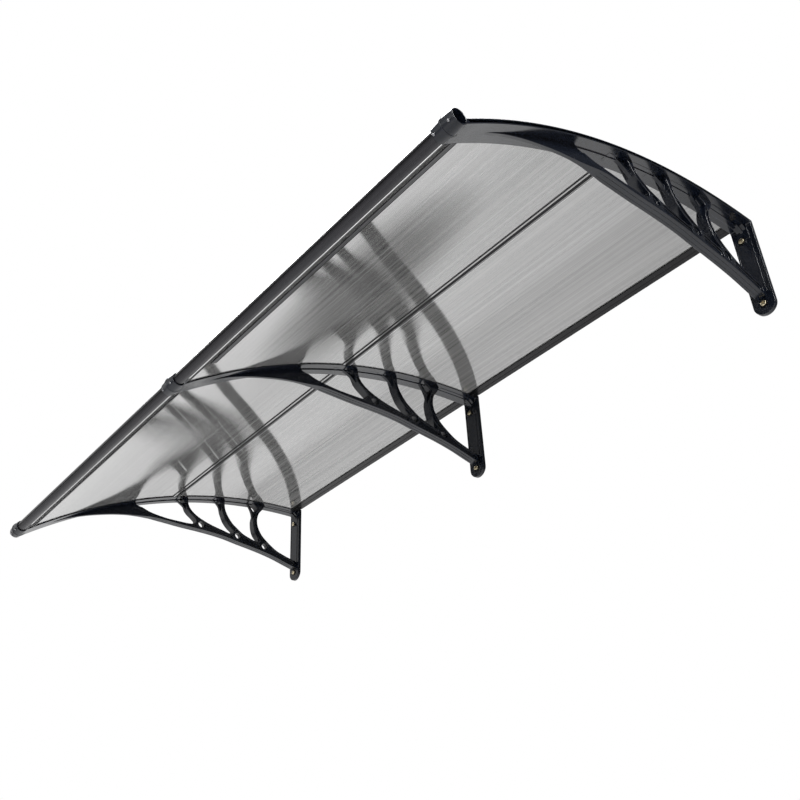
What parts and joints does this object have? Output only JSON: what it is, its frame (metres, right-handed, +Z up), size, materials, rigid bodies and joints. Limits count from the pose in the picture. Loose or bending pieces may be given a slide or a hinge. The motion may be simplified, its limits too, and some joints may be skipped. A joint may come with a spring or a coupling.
{
  "type": "door canopy",
  "caption": "Arched door canopy of smoky hollow sheet in black moulded wall brackets, with a round-nosed front bar and a wall rail.",
  "frame": {"origin": "centre of the middle wall plate's back face, midway between its two wall bolts", "axes": "+X along the wall to the right as seen from the street, +Y into the wall, +Z up"},
  "size_m": [1.9856, 1.0114, 0.3572],
  "materials": {
    "bracket_plastic": "black moulded plastic with a soft gloss",
    "dark_aluminium": "black anodised extrusion with fine draw lines",
    "hollow_sheet": "smoke-tinted twin-wall sheet with fine ribs and a glossy skin",
    "clear_joiner": "smoke-tinted joiner strip with a black middle web",
    "seal_rubber": "matt black strip",
    "zinc_steel": "yellow zinc plate",
    "washer_steel": "bright zinc plate"
  },
  "bodies": {
    "root": {"bracket_left": "bracket_plastic", "wall_bolt_left_lower": "zinc_steel", "bolt_washer_left_lower": "washer_steel", "wall_bolt_left_upper": "zinc_steel", "bolt_washer_left_upper": "washer_steel", "collar_screw_left_a": "washer_steel", "collar_screw_left_b": "washer_steel", "bracket_middle": "bracket_plastic", "wall_bolt_middle_lower": "zinc_steel", "bolt_washer_middle_lower": "washer_steel", "wall_bolt_middle_upper": "zinc_steel", "bolt_washer_middle_upper": "washer_steel", "collar_screw_middle_a": "washer_steel", "collar_screw_middle_b": "washer_steel", "bracket_right": "bracket_plastic", "wall_bolt_right_lower": "zinc_steel", "bolt_washer_right_lower": "washer_steel", "wall_bolt_right_upper": "zinc_steel", "bolt_washer_right_upper": "washer_steel", "collar_screw_right_a": "washer_steel", "collar_screw_right_b": "washer_steel", "front_bar_left": "dark_aluminium", "front_seal_left": "seal_rubber", "joiner_left": "clear_joiner", "wall_rail_left": "dark_aluminium", "sheet_front_left": "hollow_sheet", "sheet_rear_left": "hollow_sheet", "front_bar_right": "dark_aluminium", "front_seal_right": "seal_rubber", "joiner_right": "clear_joiner", "wall_rail_right": "dark_aluminium", "sheet_front_right": "hollow_sheet", "sheet_rear_right": "hollow_sheet"}
  },
  "joints": []
}
